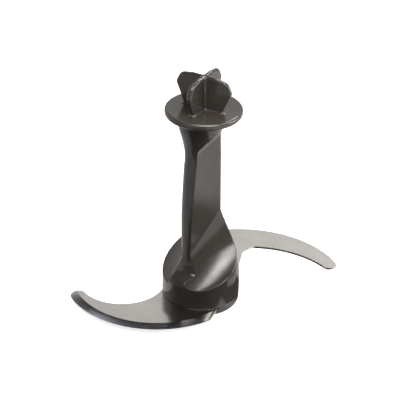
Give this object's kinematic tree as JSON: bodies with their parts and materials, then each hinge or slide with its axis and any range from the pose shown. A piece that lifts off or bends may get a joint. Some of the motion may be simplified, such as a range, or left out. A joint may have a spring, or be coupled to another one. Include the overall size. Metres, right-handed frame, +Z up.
{
  "type": "food processor blade",
  "caption": "Food processor blade: a dark moulded column with a drive cross on top and two curved, serrated steel blades set at different heights in its hub.",
  "frame": {"origin": "centre of the flat underside of the base, on the axis the blade spins about", "axes": "+Z up along the axis, +Y to the back, so that the lower blade points to -X and the upper blade to +X"},
  "size_m": [0.1415, 0.0754, 0.1315],
  "materials": {
    "moulded_plastic": "semi-gloss moulded",
    "blade_steel": "fine brushed"
  },
  "bodies": {
    "root": {"body": "moulded_plastic", "lower_blade": "blade_steel", "upper_blade": "blade_steel", "base_cap": "moulded_plastic"}
  },
  "joints": []
}
